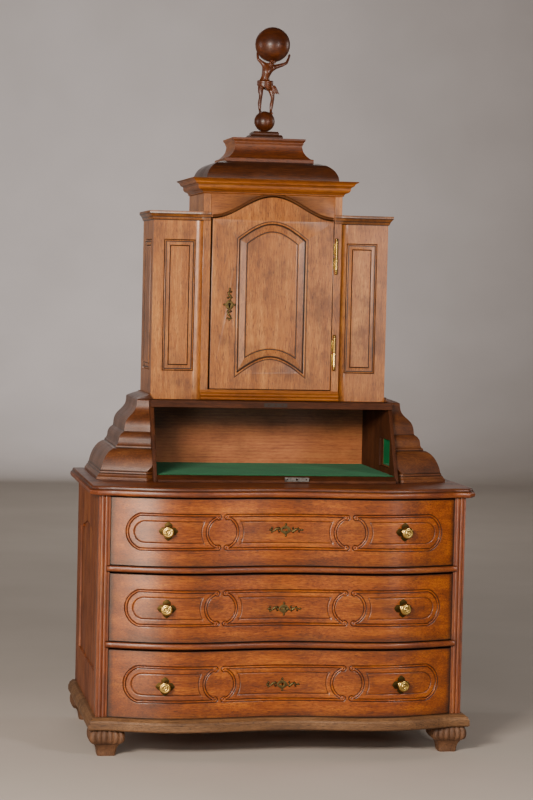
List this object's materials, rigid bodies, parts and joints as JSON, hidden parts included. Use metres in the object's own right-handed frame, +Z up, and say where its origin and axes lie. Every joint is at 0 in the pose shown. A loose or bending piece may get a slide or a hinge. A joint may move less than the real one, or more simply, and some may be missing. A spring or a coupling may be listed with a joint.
{
  "type": "tabernacle secretary",
  "caption": "Serpentine chest of drawers with a writing section, side cabinets, an arched door, a domed top and a carved figure holding a globe.",
  "frame": {"origin": "centre of the bounding box in plan, at the floor", "axes": "+Z up, the front faces -Y, +X to the right of someone who faces the front"},
  "size_m": [1.212, 0.76, 2.3037],
  "materials": {
    "waxed_walnut": "waxed walnut",
    "waxed_oak": "waxed oak",
    "worn_oak": "worn, dull oak",
    "plain_pine": "plain, unfinished pine",
    "cast_brass": "aged, hand polished",
    "forged_iron": "dark forged iron",
    "green_baize": "wool baize",
    "dark_walnut": "dark stained",
    "dark_carved_walnut": "dark stained and carved",
    "dark_turned_walnut": "dark stained and turned"
  },
  "bodies": {
    "carcase": {"left_side": "waxed_walnut", "right_side": "waxed_walnut", "left_corner_post": "waxed_walnut", "right_corner_post": "waxed_walnut", "upper_divider": "waxed_walnut", "lower_divider": "waxed_walnut", "top_plate": "waxed_walnut", "left_flank": "waxed_walnut", "right_flank": "waxed_walnut", "left_inner_wall": "waxed_walnut", "right_inner_wall": "waxed_walnut", "case_back": "plain_pine", "case_bottom": "plain_pine", "upper_back": "plain_pine", "plinth": "worn_oak", "front_left_foot": "worn_oak", "front_right_foot": "worn_oak", "rear_left_foot": "worn_oak", "rear_right_foot": "worn_oak", "writing_floor": "worn_oak", "writing_top": "worn_oak", "left_wing": "waxed_oak", "right_wing": "waxed_oak", "centre_carcase": "waxed_oak", "main_cornice": "waxed_oak", "cove_block": "waxed_oak", "dome": "dark_walnut", "figure": "dark_carved_walnut", "globe": "dark_turned_walnut", "baize": "green_baize", "upper_hinge_frame_half": "cast_brass", "lower_hinge_frame_half": "cast_brass"},
    "door": {"door_frame": "waxed_oak", "door_panel": "waxed_oak", "door_key_plate": "cast_brass", "door_lock": "forged_iron", "upper_hinge_door_half": "cast_brass", "lower_hinge_door_half": "cast_brass"},
    "door_lock_bolt": {"door_bolt": "forged_iron"},
    "top_drawer": {"top_drawer_front": "waxed_walnut", "top_drawer_tray": "plain_pine", "top_left_knob": "cast_brass", "top_right_knob": "cast_brass", "top_key_plate": "cast_brass", "top_drawer_lock": "forged_iron"},
    "top_drawer_lock_bolt": {"top_drawer_bolt": "forged_iron"},
    "middle_drawer": {"middle_drawer_front": "waxed_walnut", "middle_drawer_tray": "plain_pine", "middle_left_knob": "cast_brass", "middle_right_knob": "cast_brass", "middle_key_plate": "cast_brass", "middle_drawer_lock": "forged_iron"},
    "middle_drawer_lock_bolt": {"middle_drawer_bolt": "forged_iron"},
    "bottom_drawer": {"bottom_drawer_front": "waxed_walnut", "bottom_drawer_tray": "plain_pine", "bottom_left_knob": "cast_brass", "bottom_right_knob": "cast_brass", "bottom_key_plate": "cast_brass", "bottom_drawer_lock": "forged_iron"},
    "bottom_drawer_lock_bolt": {"bottom_drawer_bolt": "forged_iron"}
  },
  "joints": [
    {"name": "top_drawer_slide", "type": "slide", "parent": "carcase", "child": "top_drawer", "axis": [0, -1, 0], "range_m": [0, 0.42]},
    {"name": "top_drawer_bolt_slide", "type": "slide", "parent": "top_drawer", "child": "top_drawer_lock_bolt", "axis": [0, 0, 1], "range_m": [0, 0.009]},
    {"name": "middle_drawer_slide", "type": "slide", "parent": "carcase", "child": "middle_drawer", "axis": [0, -1, 0], "range_m": [0, 0.42]},
    {"name": "middle_drawer_bolt_slide", "type": "slide", "parent": "middle_drawer", "child": "middle_drawer_lock_bolt", "axis": [0, 0, 1], "range_m": [0, 0.009]},
    {"name": "bottom_drawer_slide", "type": "slide", "parent": "carcase", "child": "bottom_drawer", "axis": [0, -1, 0], "range_m": [0, 0.42]},
    {"name": "bottom_drawer_bolt_slide", "type": "slide", "parent": "bottom_drawer", "child": "bottom_drawer_lock_bolt", "axis": [0, 0, 1], "range_m": [0, 0.009]},
    {"name": "door_hinge", "type": "hinge", "parent": "carcase", "child": "door", "pos_m": [0.209, 0.0282, 1.397], "axis": [0, 0, 1], "range_deg": [0, 110]},
    {"name": "door_bolt_slide", "type": "slide", "parent": "door", "child": "door_lock_bolt", "axis": [-1, 0, 0], "range_m": [0, 0.01]}
  ]
}
